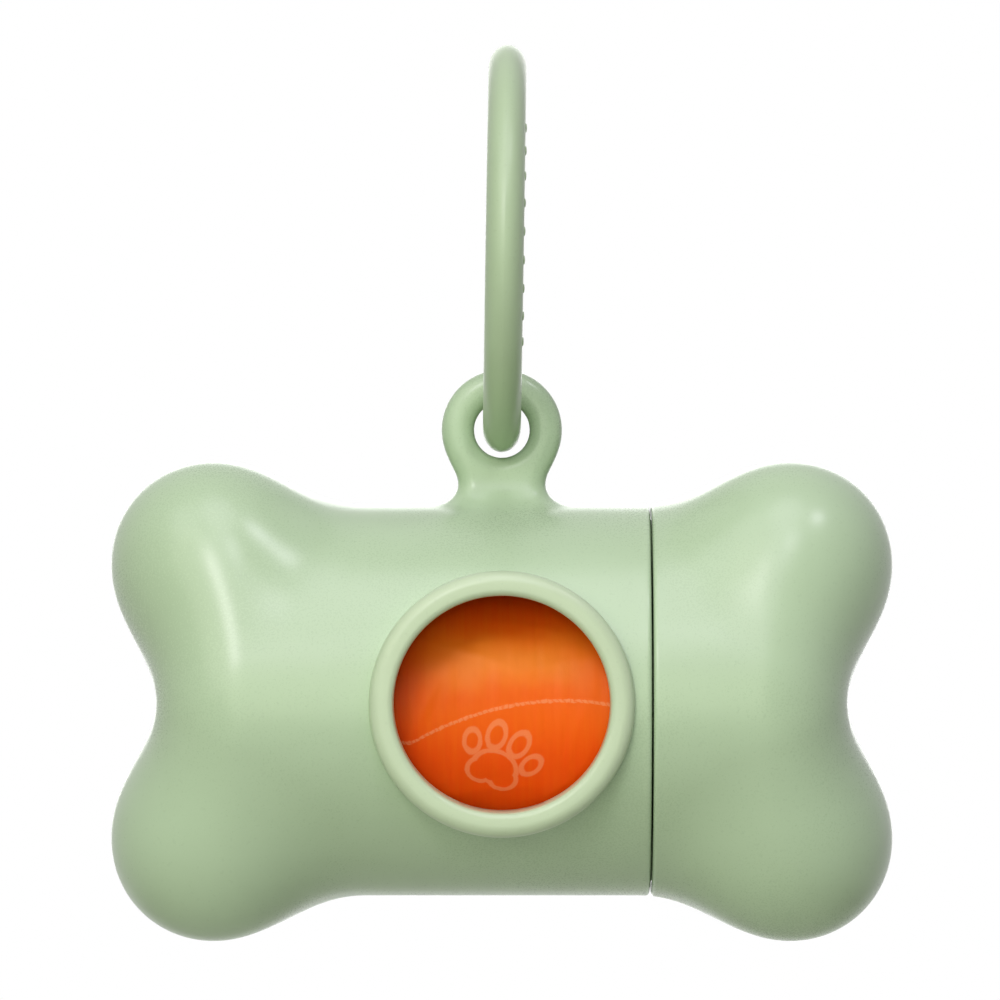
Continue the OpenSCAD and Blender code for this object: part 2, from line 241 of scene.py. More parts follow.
class Amount:
    """A value that changes over a surface; each operator adds a Math node."""

    def __init__(self, plan, socket):
        self.plan, self.socket = plan, socket

    def math(self, operation, one, other=0.0):
        return Amount(self.plan, self.plan.node("ShaderNodeMath", {"operation": operation},
                                                input_0=one, input_1=other).outputs[0])

    def __add__(self, other):
        return self.math("ADD", self, other)

    __radd__ = __add__

    def __sub__(self, other):
        return self.math("SUBTRACT", self, other)

    def __rsub__(self, other):
        return self.math("SUBTRACT", other, self)

    def __mul__(self, other):
        return self.math("MULTIPLY", self, other)

    __rmul__ = __mul__

    def __truediv__(self, other):
        return self.math("DIVIDE", self, other)

    def __mod__(self, other):
        return self.math("FLOORED_MODULO", self, other)

    def __abs__(self):
        return self.math("ABSOLUTE", self)

    def least(self, other):
        return self.math("MINIMUM", self, other)

    def most(self, other):
        return self.math("MAXIMUM", self, other)

    def root(self):
        return self.math("SQRT", self)

    def turn_from(self, other):
        """Angle round the axis, as a share of a whole turn."""
        return self.math("ARCTAN2", self, other) * (0.5 / math.pi)

    def clear(self, low, high):
        """0 at or under low, 1 at or over high, soft between; low may be the higher."""
        rising = low < high
        return Amount(self.plan, self.plan.node(
            "ShaderNodeMapRange", {"interpolation_type": "SMOOTHSTEP"}, Value=self,
            From_Min=min(low, high), From_Max=max(low, high),
            To_Min=0.0 if rising else 1.0, To_Max=1.0 if rising else 0.0).outputs[0])


class Plan:
    """The nodes of one material or of the world."""

    def __init__(self, owner):
        owner.use_nodes = True
        self.tree = owner.node_tree
        self.tree.nodes.clear()

    def node(self, kind, settings=None, **entries):
        """Adds a node: its settings first, then its sockets, by name or by input_N."""
        node = self.tree.nodes.new(kind)
        for name, value in (settings or {}).items():
            setattr(node, name, value)
        for name, value in entries.items():
            entry = node.inputs[int(name[6:]) if name.startswith("input_")
                                else name.replace("_", " ")]
            if isinstance(value, Amount):
                self.tree.links.new(value.socket, entry)
            elif isinstance(value, bpy.types.NodeSocket):
                self.tree.links.new(value, entry)
            else:
                entry.default_value = value
        return node

    def place(self, scale=1.0, shift=(0, 0, 0), kind="Object"):
        """Object coordinates or the piece's own UV, times scale and then shifted."""
        where = self.node("ShaderNodeTexCoord")
        return self.stretch(where.outputs[kind], scale, shift)

    def stretch(self, vector, scale, shift=(0, 0, 0)):
        three = scale if isinstance(scale, tuple) else (scale,) * 3
        return self.node("ShaderNodeMapping", Vector=vector, Scale=three,
                         Location=shift).outputs[0]

    def parts(self, vector):
        """The three numbers of a vector."""
        split = self.node("ShaderNodeSeparateXYZ", Vector=vector)
        return [Amount(self, socket) for socket in split.outputs]

    def joined(self, x, y, z):
        return self.node("ShaderNodeCombineXYZ", X=x, Y=y, Z=z).outputs[0]

    def noise(self, scale, detail=2.0, rough=0.5, vector=None):
        """Noise of so many grains to one unit of the vector, around 0.5."""
        node = self.node("ShaderNodeTexNoise", Vector=vector or self.place(),
                         Scale=scale, Detail=detail, Roughness=rough)
        return Amount(self, node.outputs[0])

    def mix(self, share, one, other):
        """Colour one where share is 0, and other where it is 1."""
        def colour(value):
            return (*value, 1.0) if isinstance(value, tuple) else value
        return self.node("ShaderNodeMix", {"data_type": "RGBA"}, input_0=share,
                         input_6=colour(one), input_7=colour(other)).outputs[2]

    def bump(self, height, strength, distance, under=None):
        entries = {"Height": height, "Strength": strength, "Distance": distance}
        if under is not None:
            entries["Normal"] = under
        return self.node("ShaderNodeBump", None, **entries).outputs[0]

    def seen(self):
        """1 for what the eye sees, straight or in a reflection or through glass."""
        path = self.node("ShaderNodeLightPath")
        ways = [Amount(self, path.outputs[f"Is {way} Ray"])
                for way in ("Camera", "Glossy", "Transmission")]
        return ways[0].most(ways[1]).most(ways[2])


class Finish(Plan):
    """A material on the principled shader."""

    def __init__(self, name, **constants):
        self.material = bpy.data.materials.new(name)
        super().__init__(self.material)
        self.shader = self.node("ShaderNodeBsdfPrincipled", None, **constants)
        self.out = self.node("ShaderNodeOutputMaterial", Surface=self.shader.outputs[0])

    def wear(self, **sockets):
        """Links values or colours to the principled shader."""
        for name, value in sockets.items():
            socket = value.socket if isinstance(value, Amount) else value
            self.tree.links.new(socket, self.shader.inputs[name.replace("_", " ")])
        return self.material


def shade(r, g, b):
    """A colour given from 0 to 255, as a screen shows it."""
    return tuple((c / 255 / 12.92) if c <= 10 else ((c / 255 + 0.055) / 1.055) ** 2.4
                 for c in (r, g, b))


def moulded_plastic(name, colour, darker, roughness, grain=1.0):
    """Satin moulded plastic: fine spark-eroded grain, faint flow clouds, dust in the grain."""
    finish = Finish(name, IOR=1.45)
    clouds = finish.noise(38.0, detail=3.0, rough=0.55)
    flow = finish.noise(1.0, vector=finish.place((60.0, 190.0, 190.0)))
    fine = finish.noise(5200.0, rough=0.6)
    coarse = finish.noise(1500.0, detail=1.0)
    dust = finish.noise(2300.0, detail=0.0).clear(0.735, 0.78)
    tone = (clouds * 0.6 + flow * 0.25 + fine * 0.15).clear(0.30, 0.70)
    base = finish.mix(tone, darker, colour)
    base = finish.mix(dust * 0.12, base, tuple(0.72 * c for c in darker))
    matt = (clouds - 0.5) * 0.05 + (fine - 0.5) * 0.06 + roughness
    grained = finish.bump(fine * 0.7 + coarse * 0.5, strength=0.03 * grain, distance=0.06 * MM)
    sink = finish.noise(120.0, detail=1.0, rough=0.4)
    waved = finish.bump(sink, strength=0.05, distance=0.2 * MM, under=grained)
    return finish.wear(Base_Color=base, Roughness=matt, Normal=waved)


shell_finish = moulded_plastic("satin_sage_plastic", shade(171, 194, 159),
                               shade(166, 189, 153), roughness=0.28)
rim_finish = moulded_plastic("pale_rim_plastic", shade(184, 202, 168),
                             shade(180, 198, 163), roughness=0.33)
ring_finish = moulded_plastic("sage_silicone", shade(166, 187, 151),
                              shade(161, 182, 145), roughness=0.36, grain=0.6)
inner_finish = moulded_plastic("inner_tube_plastic", shade(150, 174, 138),
                               shade(144, 168, 131), roughness=0.38)
seal_finish = moulded_plastic("seal_rubber", shade(52, 56, 50),
                              shade(44, 48, 43), roughness=0.6)


# The bone

def capsule_lobe():
    """One end lobe: a ball drawn out from front to back."""
    bpy.ops.mesh.primitive_uv_sphere_add(segments=64, ring_count=32, radius=LOBE_R,
                                         rotation=(math.pi / 2, 0, 0))
    lobe = bpy.context.active_object
    bpy.ops.object.transform_apply(location=True, rotation=True, scale=True)
    co = points_of(lobe)
    for side in (-1, 1):
        edit(lobe)
        pick(lobe, co[:, 1] * side > TOUCH)
        bpy.ops.transform.translate(value=(0, side * LOBE_Y, 0))
        done()
    return lobe


def round_barrel():
    """The barrel, its two ends rounded."""
    bpy.ops.object.select_all(action="DESELECT")
    bpy.ops.mesh.primitive_cylinder_add(vertices=96, radius=BARREL_R, depth=2 * BARREL_HALF,
                                        rotation=(0, math.pi / 2, 0))
    barrel = bpy.context.active_object
    bpy.ops.object.transform_apply(location=True, rotation=True, scale=True)
    edit(barrel, "EDGE")
    x = points_of(barrel)[:, 0]
    ends = [abs(x[e.vertices[0]] - x[e.vertices[1]]) < TOUCH for e in barrel.data.edges]
    pick(barrel, ends, "EDGE")
    bpy.ops.mesh.bevel(offset=BARREL_END_R, segments=12)
    done()
    return barrel


def rough_eye(shy, inset):
    """The lug's eye as a flat band, thinner by inset on each face and narrower by shy."""
    place = {"rotation": (math.pi / 2, 0, 0), "location": (0, -LUG_T / 2 + inset, LUG_Z)}
    bpy.ops.object.select_all(action="DESELECT")
    bpy.ops.mesh.primitive_circle_add(vertices=64, radius=LUG_R - shy, **place)
    eye = bpy.context.active_object
    bpy.ops.object.mode_set(mode="EDIT")
    bpy.ops.mesh.primitive_circle_add(vertices=64, radius=LUG_HOLE_R + shy, **place)
    bpy.ops.mesh.select_all(action="SELECT")
    bpy.ops.mesh.bridge_edge_loops()
    bpy.ops.mesh.select_all(action="SELECT")
    bpy.ops.mesh.extrude_region_move(
        TRANSFORM_OT_translate={"value": (0, LUG_T - 2 * inset, 0)})
    done()
    outward(eye)
    return eye


def rough_neck(inset, root=3.0, clear_of_hole=0.5):
    """The block between barrel and eye, from inside the barrel to just under the hole."""
    low, high = BARREL_R - root, LUG_Z - LUG_HOLE_R - clear_of_hole
    bpy.ops.object.select_all(action="DESELECT")
    bpy.ops.mesh.primitive_cube_add(size=1, location=(0, 0, (low + high) / 2),
                                    scale=(2 * NECK_HALF, LUG_T - 2 * inset, high - low))
    return bpy.context.active_object


def whole_bone():
    """Barrel, four lobes and lug, grown into one skin that is pulled onto its true shape."""
    barrel = round_barrel()
    lobe = capsule_lobe()
    lobes = [lobe] + [copy_of(lobe, "lobe") for _ in range(3)]
    for piece, (sx, sz) in zip(lobes, ((1, 1), (1, -1), (-1, 1), (-1, -1))):
        piece.location = (sx * LOBE_X, 0, sz * LOBE_Z)
    eye, neck = rough_eye(shy=0.3, inset=0.2), rough_neck(inset=0.2)

    bone = take(*lobes, eye, neck, barrel)
    bpy.ops.object.join()
    bpy.ops.object.transform_apply(location=True, rotation=True, scale=True)
    modify(bone, "REMESH", mode="VOXEL", voxel_size=SKIN_STEP)
    for evened in (True, True, False):
        co, _ = pull_to(from_skin, points_of(bone))
        move_points(bone, co)
        if evened:
            edit(bone)
            bpy.ops.mesh.select_all(action="SELECT")
            bpy.ops.mesh.vertices_smooth(factor=0.5, repeat=4)
            done()
    return bone


def edge_drop(gap, radius):
    """How far a skin drops at this distance from an edge rounded with radius."""
    near = np.clip(radius - gap, 0, radius)
    return radius - np.sqrt(radius ** 2 - near ** 2)


def open_window(half):
    """Takes out the skin in the window and a little way under its rim."""
    edit(half, "FACE")
    centre = np.array([f.center for f in half.data.polygons])
    hole = (np.hypot(centre[:, 0], centre[:, 2]) < WINDOW_R + RIM_COVER) & (centre[:, 1] < 0)
    pick(half, hole, "FACE")
    bpy.ops.mesh.delete(type="FACE")
    done()


def soften_edges(half, face, front):
    """Rounds the outer edge at the cap's joint and presses in the fine line between halves."""
    on_skin, least_flat = 0.05, 0.3
    co = points_of(half)
    outer = np.abs(from_skin(co)) < on_skin
    skin, normal = pull_to(from_skin, co[outer], 3)
    to_joint = np.abs(skin[:, 0] - face)
    to_parting = np.abs(skin[:, 1]) - PARTING
    rounding = edge_drop(to_joint, JOINT_EDGE)
    groove = PARTING_DEEP * np.clip(1 - to_parting / PARTING_W, 0, 1) ** 1.5
    normal[to_joint < JOINT_EDGE + 10 * TOUCH, 0] = 0
    normal /= np.maximum(np.linalg.norm(normal, axis=1), least_flat)[:, None]
    still = (to_joint < TOUCH) | (to_parting < TOUCH)
    skin[still, :2] = co[outer][still, :2]
    co[outer] = skin - np.maximum(rounding, groove)[:, None] * normal
    co[:, 1] = np.where(co[:, 1] * front < PARTING, front * PARTING, co[:, 1])
    move_points(half, co)


def shell_half(bone, name, side, front):
    """One half of the body (side -1) or of the cap (side 1), cut from the bone."""
    half = copy_of(bone, name)
    face = JOINT_X + side * JOINT_GAP / 2
    cut(half, (face, 0, 0), (-side, 0, 0), clear=True)
    cut(half, (0, front * PARTING, 0), (0, -front, 0), clear=True)
    if side < 0 and front < 0:
        open_window(half)
    modify(half, "SOLIDIFY", thickness=WALL, offset=-1, use_rim=True)
    for gap in JOINT_CUTS:
        cut(half, (face + side * gap, 0, 0), (side, 0, 0))
    for gap in PARTING_CUTS:
        cut(half, (0, front * (PARTING + gap), 0), (0, front, 0))
    soften_edges(half, face, front)
    smooth(half, 35)
    return half


bone = whole_bone()
for name, body, node, side, front in (("body_front_half", "body", "front_shell", -1, -1),
                                      ("body_back_half", "body", "back_shell", -1, 1),
                                      ("cap_front_half", "cap", "cap_front_shell", 1, -1),
                                      ("cap_back_half", "cap", "cap_back_shell", 1, 1)):
    half = shell_half(bone, name, side, front)
    seat(half, name, body, shell_finish, [node])
bpy.data.objects.remove(bone)


# The window's rim

def drawn(corners):
    """A chain of edges drawn from one vertex by extruding it to each corner."""
    bpy.ops.object.select_all(action="DESELECT")
    bpy.ops.mesh.primitive_plane_add(size=0.1, location=corners[0])
    piece = bpy.context.active_object
    bpy.ops.object.transform_apply(location=True)
    bpy.ops.object.mode_set(mode="EDIT")
    bpy.ops.mesh.merge(type="CENTER")
    for start, end in zip(corners, corners[1:]):
        bpy.ops.mesh.extrude_region_move(
            TRANSFORM_OT_translate={"value": Vector(end) - Vector(start)})
    done()
    return piece


def spun(piece, axis, steps):
    """Spins the drawn section once round an axis through the origin."""
    edit(piece)
    bpy.ops.mesh.select_all(action="SELECT")
    bpy.ops.mesh.spin(steps=steps, angle=2 * math.pi, center=(0, 0, 0), axis=axis)
    done()
    outward(piece)
    return piece


def round_edge(piece, radius, height, size, segments):
    """Rounds the ring of edges of the rim at this radius and height off the barrel's axis."""
    near = 20 * TOUCH
    co = points_of(piece)
    on = ((np.abs(np.hypot(co[:, 0], co[:, 2]) - radius) < near)
          & (np.abs(-co[:, 1] - height) < near))
    edit(piece, "EDGE")
    pick(piece, [on[e.vertices[0]] and on[e.vertices[1]] for e in piece.data.edges], "EDGE")
    bpy.ops.mesh.bevel(offset=size, segments=segments)
    done()


def front_skin_y(x, z, furthest=40.0, halvings=30):
    """The y of the bone's skin in front of (x, z)."""
    near, far = np.zeros(len(x)), np.full(len(x), furthest)
    for _ in range(halvings):
        mid = (near + far) / 2
        inside = from_bone(np.stack([x, -mid, z], 1)) < 0
        near, far = np.where(inside, mid, near), np.where(inside, far, mid)
    return -(near + far) / 2


def window_rim():
    """Bead round the window and its sleeve down to the roll chamber, spun from their section."""
    under, sleeve_r, near = BARREL_R - RIM_ROOT, WINDOW_R + SLEEVE_WALL, 0.1
    corners = ((WINDOW_R, CHAMBER_R), (WINDOW_R, RIM_FRONT), (RIM_R, RIM_FRONT), (RIM_R, under),
               (sleeve_r, under), (sleeve_r, CHAMBER_R), (WINDOW_R, CHAMBER_R))
    rim = spun(drawn([(r, -h, 0) for r, h in corners]), (0, 1, 0), 256)
    round_edge(rim, RIM_R, RIM_FRONT, RIM_OUTER_ROUND, 12)
    round_edge(rim, WINDOW_R, RIM_FRONT, RIM_INNER_ROUND, 8)
    co = points_of(rim)
    foot = np.abs(-co[:, 1] - under) < near
    co[foot, 1] += BARREL_R + front_skin_y(co[foot, 0], co[foot, 2])
    end = np.abs(-co[:, 1] - CHAMBER_R) < near
    co[end, 1] = -np.sqrt(CHAMBER_R ** 2 - co[end, 2] ** 2)
    move_points(rim, co)
    smooth(rim, 50)
    return rim


seat(window_rim(), "window_bead", "body", rim_finish, ["window_rim"])


# The ring

def ring():
    """Soft ring: an oval section spun round, with a fine parting line and a butt joint."""
    gap = RING_BUTT / RING_MID_R
    bpy.ops.object.select_all(action="DESELECT")
    bpy.ops.mesh.primitive_circle_add(vertices=128, radius=0.5, location=(0, RING_MID_R, 0))
    piece = bpy.context.active_object
    piece.scale = (RING_W, RING_T, 1)
    bpy.ops.object.transform_apply(location=True, rotation=True, scale=True)
    co = points_of(piece)
    outmost = np.argmax(co[:, 1])
    co[outmost, 1] += RING_LINE
    move_points(piece, co)
    edit(piece)
    bpy.ops.mesh.select_all(action="SELECT")
    bpy.ops.transform.rotate(value=gap / 2, orient_axis="X", center_override=(0, 0, 0))
    bpy.ops.mesh.select_all(action="SELECT")
    bpy.ops.mesh.spin(steps=256, angle=gap - 2 * math.pi, center=(0, 0, 0), axis=(1, 0, 0))
    bpy.ops.mesh.select_non_manifold(extend=False)
    bpy.ops.mesh.edge_face_add()
    done()
    outward(piece)
    smooth(piece, 50)
    return piece


def grip_pips():
    """A row of small plain domes on the ring's right face."""
    bpy.ops.object.select_all(action="DESELECT")
    bpy.ops.mesh.primitive_uv_sphere_add(segments=24, ring_count=16, radius=PIP_R)
    first = bpy.context.active_object
    first.scale = (PIP_RISE / PIP_R, 1, 1)
    bpy.ops.object.transform_apply(location=True, rotation=True, scale=True)
    pips = [first] + [copy_of(first, "pip") for _ in range(PIP_COUNT - 1)]
    for k, pip in enumerate(pips):
        a = math.radians(PIP_START + PIP_STEP * k)
        pip.location = (RING_W / 2, -RING_MID_R * math.sin(a), RING_MID_R * math.cos(a))
    take(*pips)
    bpy.ops.object.join()
    bpy.ops.object.transform_apply(location=True, rotation=True, scale=True)
    pips[-1].name = "pips"
    smooth(pips[-1], 60)
    return pips[-1]


ring_place = (Matrix.Translation((0, 0, PIVOT_Z))
              @ Matrix.Rotation(math.radians(RING_LEAN), 4, "Y")
              @ Matrix.Translation((0, 0, RING_MID_R)))
leash_ring, pips = ring(), grip_pips()
for piece in (leash_ring, pips):
    piece.data.transform(ring_place)
seat(leash_ring, "leash_ring", "ring", ring_finish, ["hang_ring"])
seat(pips, "ring_pips", "ring", ring_finish, [])


# The roll of bags: u runs along it, and v round it from the front up to the top

STREAKS, STREAK_RISE, WAVES, WAVE_RISE = 9, 0.010, 5, 0.030
# Each fold's place, turn, length and height, and how far they all bend and how wide they are
FOLD_BEND, FOLD_W = 0.012, 0.45
FOLDS = ((-4.0, 6.0, -18, 7.0, 0.07), (5.5, 4.5, 12, 5.0, 0.05), (7.5, -4.0, 74, 4.5, 0.06),
         (-8.5, -1.0, 66, 5.0, 0.06), (-1.0, -9.5, 8, 6.0, 0.06), (2.5, 9.0, -9, 5.0, 0.06))
# The free end lifts off and is torn ragged, and the other end tucks in under it
FREE_REACH, FREE_LIFT, RAGGED, RAGGED_PITCH = 5.0, 0.14, 0.10, 0.8
TUCK_TURN, TUCK_DEEP = 0.12, 0.10


def film_waves(u, v):
    """How far the film stands off its roll: fine streaks round it, broad waves and a few folds."""
    rng = np.random.default_rng(11)

    def wave(turns):
        return np.cos(2 * math.pi * turns + rng.uniform(0, 6.3))

    off = np.zeros(len(u))
    for _ in range(STREAKS):
        pitch, reach = rng.uniform(0.9, 3.2), rng.uniform(9.0, 26.0)
        off += STREAK_RISE * wave(u / pitch + v / reach / 6) * wave(v / reach)
    for _ in range(WAVES):
        a, pitch = rng.uniform(-0.7, 0.7), rng.uniform(9.0, 17.0)
        off += WAVE_RISE * wave((u * math.cos(a) + v * math.sin(a)) / pitch)
    for fold_u, fold_v, turn, length, height in FOLDS:
        c, s = math.cos(math.radians(turn)), math.sin(math.radians(turn))
        along = (u - fold_u) * c + (v - fold_v) * s
        across = (v - fold_v) * c - (u - fold_u) * s + FOLD_BEND * along ** 2
        off += height * np.exp(-(across / FOLD_W) ** 2 - (along / length) ** 2)
    return off


def outer_bag():
    """The next bag to come off: a sheet with its folds, rolled on with its free end at the top."""
    bpy.ops.object.select_all(action="DESELECT")
    bpy.ops.mesh.primitive_grid_add(x_subdivisions=170, y_subdivisions=270, size=1)
    sheet = bpy.context.active_object
    sheet.scale = (ROLL_LEN - 0.1, SHEET_LONG, 1)
    bpy.ops.object.transform_apply(location=True, rotation=True, scale=True)
    co = points_of(sheet)
    u, v = co[:, 0], co[:, 1] + SHEET_MID
    turn = (SHEET_TOP - v) / SHEET_R
    lifted = np.clip(1 - turn * SHEET_R / FREE_REACH, 0, 1) ** 2
    tucked = np.clip((turn - 2 * math.pi) / TUCK_TURN + 1, 0, 1)
    r = SHEET_R + film_waves(u, v) + FREE_LIFT * lifted - TUCK_DEEP * tucked
    turn = turn + RAGGED * np.abs((u / RAGGED_PITCH) % 1 - 0.5) * (turn < TOUCH)
    move_points(sheet, np.stack([u, -r * np.sin(turn), r * np.cos(turn) - ROLL_DROP], 1))
    edit(sheet)
    bpy.ops.mesh.select_all(action="SELECT")
    bpy.ops.mesh.normals_make_consistent(inside=False)
    done()
    if sheet.data.polygons[0].normal.dot(sheet.data.polygons[0].center) < 0:
        sheet.data.flip_normals()
    modify(sheet, "SOLIDIFY", thickness=FILM_T, offset=-1, use_rim=True)
    smooth(sheet, 60)
    return sheet


def wound_bags():
    """The bags wound under it, with the uneven edges of their layers at both ends."""
    layers, core_gap, sheet_gap = 46, 0.1, 0.3
    end_gap, uneven, step_back = 0.05, 0.16, 0.25
    rng = np.random.default_rng(4)
    radii = np.linspace(CORE_R + core_gap, SHEET_R - sheet_gap, layers)
    outs = [ROLL_LEN / 2 - end_gap - abs(rng.normal(0, uneven)) - step_back * (k % 2)
            for k in range(layers)]
    corners = [(x, r, 0) for x, r in zip(outs, radii)]
    corners += [(-x, r, 0) for x, r in zip(outs[::-1], radii[::-1])]
    roll = spun(drawn(corners + corners[:1]), (1, 0, 0), 128)
    roll.data.transform(Matrix.Translation((0, 0, -ROLL_DROP)))
    smooth(roll, 35)
    return roll


def card_core():
    """Card tube at the roll's heart, its ends a little crushed round."""
    half, inner, near = ROLL_LEN / 2, CORE_R - CORE_WALL, 10 * TOUCH
    corners = [(-half, inner, 0), (-half, CORE_R, 0), (half, CORE_R, 0), (half, inner, 0),
               (-half, inner, 0)]
    core = spun(drawn(corners), (1, 0, 0), 96)
    edit(core, "EDGE")
    co = points_of(core)
    ends = np.abs(np.abs(co[:, 0]) - half) < near
    r = np.hypot(co[:, 1], co[:, 2])
    lips = [ends[e.vertices[0]] and ends[e.vertices[1]]
            and abs(r[e.vertices[0]] - r[e.vertices[1]]) < near for e in core.data.edges]
    pick(core, lips, "EDGE")
    bpy.ops.mesh.bevel(offset=CORE_LIP, segments=3)
    done()
    core.data.transform(Matrix.Translation((0, 0, -ROLL_DROP)))
    smooth(core, 40)
    return core


# FILM_DEEP is the film's deeper, redder tone: the wound layers show it at random, and on the outer
# bag it is painted shade
FILM, FILM_DEEP = shade(244, 102, 6), shade(242, 76, 3)
# A paler, yellower orange painted on as a highlight band, and the pale of the print and the line
# of holes
FILM_PAINTED_HIGHLIGHT, FILM_PALE = shade(255, 142, 38), shade(255, 184, 130)
# The print, the painted highlight band and the painted shade low down repeat at these steps along
# the roll and round it
PRINT_U, PRINT_V = 26.0, 24.0
PAW_U, PAW_V, PAW_SIZE, PAW_TURN = -0.4, -6.0, 1.25, math.radians(-24)
# Centres of the painted highlight band along and round the roll, of the painted shade low down,
# and where painted shade begins towards the left
HIGHLIGHT_U, HIGHLIGHT_V, LOW_SHADE_V, SHADE_EDGE_U = 1.0, 4.8, -9.0, -11.4
# The line of holes between two bags sags from its highest place and then runs level
TEAR_U, TEAR_V, TEAR_SAG, TEAR_HALF, HOLE_PITCH = 6.5, 0.56, 0.0174, math.sqrt(260.0), 0.62


def from_nearest(place, centre, pitch):
    """The signed way to place from the nearest of the centres that lie a pitch apart."""
    return (place + (pitch / 2 - centre)) % pitch - pitch / 2


def oval_outline(x, y, cx, cy, rx, ry, turn=0.0):
    """Signed distance from an oval, in the units of x and y."""
    c, s = math.cos(math.radians(turn)), math.sin(math.radians(turn))
    along = ((x - cx) * c + (y - cy) * s) / rx
    across = ((y - cy) * c - (x - cx) * s) / ry
    return ((along * along + across * across).root() - 1.0) * min(rx, ry)


def paw(x, y):
    """Distance from the outlines of a paw: one pad and four toes."""
    pad = oval_outline(x, y, 0, -0.7, 1.9, 1.5)
    for side in (-1, 1):
        pad = pad.least(oval_outline(x, y, side * 1.05, -1.45, 1.15, 1.05, side * 20))
    lines = abs(pad)
    for cx, cy, rx, ry, turn in ((-2.75, 0.75, 0.68, 1.0, 22), (-1.05, 2.05, 0.75, 1.15, 8),
                                 (1.05, 2.05, 0.75, 1.15, -8), (2.75, 0.75, 0.68, 1.0, -22)):
        lines = lines.least(abs(oval_outline(x, y, cx, cy, rx, ry, turn)))
    return lines


def film_finish():
    """Orange bag film, with a pale line of holes between two bags and a printed paw, a painted
    highlight band, and painted shade low down and towards the left.
    """
    finish = Finish("orange_film", IOR=1.24)
    flat_start = (-ROLL_LEN / 2, SHEET_MID - SHEET_LONG / 2, 0)
    sheet = finish.place((ROLL_LEN, SHEET_LONG, 1), shift=flat_start, kind="UV")
    u, v, _ = finish.parts(sheet)
    wobble = finish.noise(1.6, detail=1.0, vector=sheet)
    fine = finish.noise(9.0, rough=0.6, vector=sheet)
    streaks = finish.noise(1.0, detail=3.0, rough=0.65,
                           vector=finish.stretch(sheet, (1.6, 0.07, 1)))
    drift = finish.noise(0.16, vector=sheet)

    sag = ((u - TEAR_U) * (u - TEAR_U)).least(TEAR_HALF ** 2) * TEAR_SAG
    tear = abs(v - TEAR_V + sag + (wobble - 0.5) * 0.35)
    holes = abs((u + v * 0.5 + wobble) % HOLE_PITCH - HOLE_PITCH / 2).clear(0.27, 0.15)
    tear_line = tear.clear(0.27, 0.10) * (holes * 0.5 + fine * 0.5 + 0.1)

    shake = (wobble - 0.5) * 0.16
    x = (from_nearest(u, PAW_U, PRINT_U) + shake) * (1 / PAW_SIZE)
    y = (from_nearest(v, PAW_V, PRINT_V) + shake) * (1 / PAW_SIZE)
    c, s = math.cos(PAW_TURN), math.sin(PAW_TURN)
    print_line = paw(x * c + y * s, y * c - x * s).clear(0.26, 0.12) * (fine * 0.6 + 0.5)

    # Painted highlight: a paler, yellower band across the film where the key light's broad
    # highlight falls, repeating round the roll
    painted_highlight = abs(from_nearest(v + (drift - 0.5) * 4.0, HIGHLIGHT_V, PRINT_V)).clear(4.4, 0.2) \
        * abs(from_nearest(u, HIGHLIGHT_U, PRINT_U)).clear(12.0, 3.0)
    # Painted shade: deeper, redder film low in the window and from its left edge leftwards, where
    # the rim shades the film
    painted_low_shade = abs(from_nearest(v, LOW_SHADE_V, PRINT_V)).clear(9.0, 2.0)
    painted_left_shade = u.clear(SHADE_EDGE_U + 4.5, SHADE_EDGE_U)
    # The tone mixes random streaks with that painted shade
    tone = (streaks * 0.5 + fine * 0.2 + painted_low_shade * 0.4 + painted_left_shade * 0.4).clear(0.2, 1.0)
    base = finish.mix(tone, FILM, FILM_DEEP)
    # The painted highlight band is laid over the film's colour
    base = finish.mix(painted_highlight * 0.8, base, FILM_PAINTED_HIGHLIGHT)
    base = finish.mix((tear_line * 0.42).least(1.0), base, FILM_PALE)
    base = finish.mix((print_line * 0.38).least(1.0), base, FILM_PALE)
    matt = (streaks - 0.5) * 0.12 + (fine - 0.5) * 0.08 + 0.42
    creased = finish.bump(streaks, strength=0.12, distance=0.1 * MM)
    pricked = finish.bump(fine * 0.4 + tear_line, strength=0.3, distance=0.06 * MM,
                          under=creased)
    return finish.wear(Base_Color=base, Roughness=matt, Normal=pricked)


def wound_finish():
    """The edges of many layers of film, seen from the roll's end."""
    finish = Finish("film_layers", IOR=1.5)
    x, y, z = finish.parts(finish.place(1 / MM, shift=(0, 0, -ROLL_AXIS_Z)))
    r = (y * y + z * z).root()
    layers = finish.noise(1.0, detail=3.0, rough=0.7,
                          vector=finish.joined(r * 9.0, x * 0.02, 0.0))
    smudge = finish.noise(300.0)
    base = finish.mix((layers * 0.7 + smudge * 0.3).clear(0.3, 0.7), FILM_DEEP, FILM)
    matt = (layers - 0.5) * 0.2 + 0.5
    ridged = finish.bump(layers, strength=0.5, distance=0.2 * MM)
    return finish.wear(Base_Color=base, Roughness=matt, Normal=ridged)


def card_finish():
    """Grey-brown card wound in a spiral, with fibres and the line where the turns meet."""
    finish = Finish("core_card", IOR=1.45)
    x, y, z = finish.parts(finish.place(1 / MM, shift=(0, 0, -ROLL_AXIS_Z)))
    turns_per_mm = 0.055
    seam = abs((x * turns_per_mm + y.turn_from(z)) % 1.0 - 0.5).clear(0.012, 0.004)
    fibres = finish.noise(1.0, detail=4.0, rough=0.7,
                          vector=finish.place((900.0, 2600.0, 2600.0)))
    flecks = finish.noise(1900.0, detail=1.0).clear(0.66, 0.72)
    base = finish.mix(fibres.clear(0.3, 0.7), shade(150, 125, 94), shade(186, 162, 128))
    base = finish.mix((seam * 0.6 + flecks * 0.35).least(1.0), base, shade(104, 84, 60))
    matt = (fibres - 0.5) * 0.15 + 0.85
    pulp = finish.bump(fibres - seam, strength=0.5, distance=0.1 * MM)
    return finish.wear(Base_Color=base, Roughness=matt, Normal=pulp)


